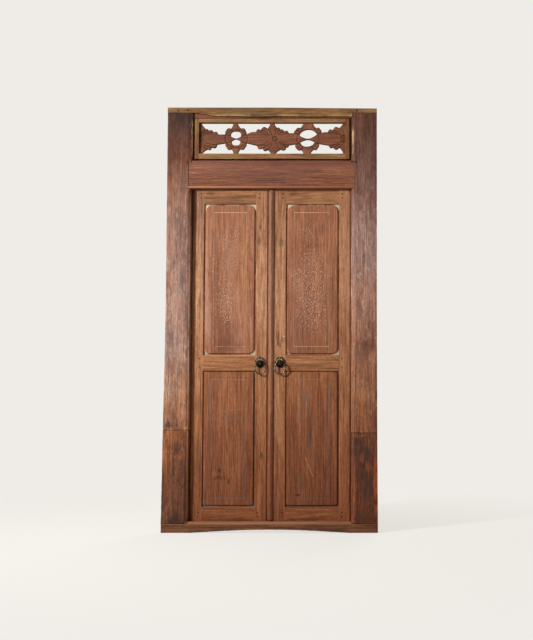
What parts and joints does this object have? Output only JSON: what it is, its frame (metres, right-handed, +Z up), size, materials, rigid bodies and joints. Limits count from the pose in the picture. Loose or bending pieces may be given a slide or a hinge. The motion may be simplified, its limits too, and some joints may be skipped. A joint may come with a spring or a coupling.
{
  "type": "double-leaf temple door",
  "caption": "Old teak double-leaf door in its frame, with a pierced carved transom, fielded panels and ring pulls; both leaves open inwards.",
  "frame": {"origin": "on the floor plane under the sill, in the middle of the doorway, on the front plane of the closed leaves", "axes": "+Z up, +X to the right as seen from the street, +Y into the building, the way the leaves open"},
  "size_m": [1.1095, 0.0655, 2.2],
  "materials": {
    "post_wood": "oiled old teak, dark patina, worn arrises",
    "foot_wood": "oiled old teak, spliced-in feet and worn sill",
    "beam_wood": "oiled old teak, even brown",
    "cap_wood": "golden-olive weathered board with a waney edge",
    "transom_wood": "old teak, dull, dusty edges",
    "carved_wood": "hand-carved teak, dark in the cuts",
    "stile_wood": "waxed light teak, stripped of paint",
    "rail_wood": "waxed light teak, grain running across",
    "panel_wood": "stripped teak with cream and blue-grey paint left in the scored lines",
    "bead_wood": "waxed teak, greyer than the stiles",
    "peg_wood": "dark hardwood pegs",
    "aged_brass": "dull aged brass, dark in the relief",
    "iron": "black rusted iron"
  },
  "bodies": {
    "frame": {"left_post": "post_wood", "left_post_foot": "foot_wood", "right_post": "post_wood", "right_post_foot": "foot_wood", "sill": "foot_wood", "lintel": "beam_wood", "head_rail": "beam_wood", "cap_board": "cap_wood", "transom_top": "transom_wood", "transom_bottom": "transom_wood", "transom_left": "transom_wood", "transom_right": "transom_wood", "fretwork": "carved_wood", "frame_pegs": "peg_wood", "cap_nails": "iron", "corner_nails": "iron"},
    "left_leaf": {"left_heel_stile": "stile_wood", "left_meeting_stile": "stile_wood", "left_top_rail": "rail_wood", "left_lock_rail": "rail_wood", "left_bottom_rail": "rail_wood", "left_upper_panel": "panel_wood", "left_lower_panel": "panel_wood", "left_leaf_pegs": "peg_wood", "astragal": "bead_wood", "astragal_brads": "iron", "left_pull_rose": "aged_brass", "left_pull_eye": "aged_brass", "left_clench_washer": "aged_brass"},
    "right_leaf": {"right_heel_stile": "stile_wood", "right_meeting_stile": "stile_wood", "right_top_rail": "rail_wood", "right_lock_rail": "rail_wood", "right_bottom_rail": "rail_wood", "right_upper_panel": "panel_wood", "right_lower_panel": "panel_wood", "right_leaf_pegs": "peg_wood", "right_pull_rose": "aged_brass", "right_pull_eye": "aged_brass", "right_clench_washer": "aged_brass"},
    "left_ring": {"left_ring": "aged_brass"},
    "right_ring": {"right_ring": "aged_brass"}
  },
  "joints": [
    {"name": "left_leaf_swing", "type": "hinge", "parent": "frame", "child": "left_leaf", "pos_m": [-0.4035, 0.015, 0.9], "axis": [0, 0, 1], "range_deg": [0, 95]},
    {"name": "right_leaf_swing", "type": "hinge", "parent": "frame", "child": "right_leaf", "pos_m": [0.4035, 0.015, 0.9], "axis": [0, 0, -1], "range_deg": [0, 95]},
    {"name": "left_ring_swing", "type": "hinge", "parent": "left_leaf", "child": "left_ring", "pos_m": [-0.0545, -0.017, 0.8696], "axis": [-1, 0, 0], "range_deg": [0, 170]},
    {"name": "right_ring_swing", "type": "hinge", "parent": "right_leaf", "child": "right_ring", "pos_m": [0.0485, -0.017, 0.8696], "axis": [-1, 0, 0], "range_deg": [0, 170]}
  ]
}
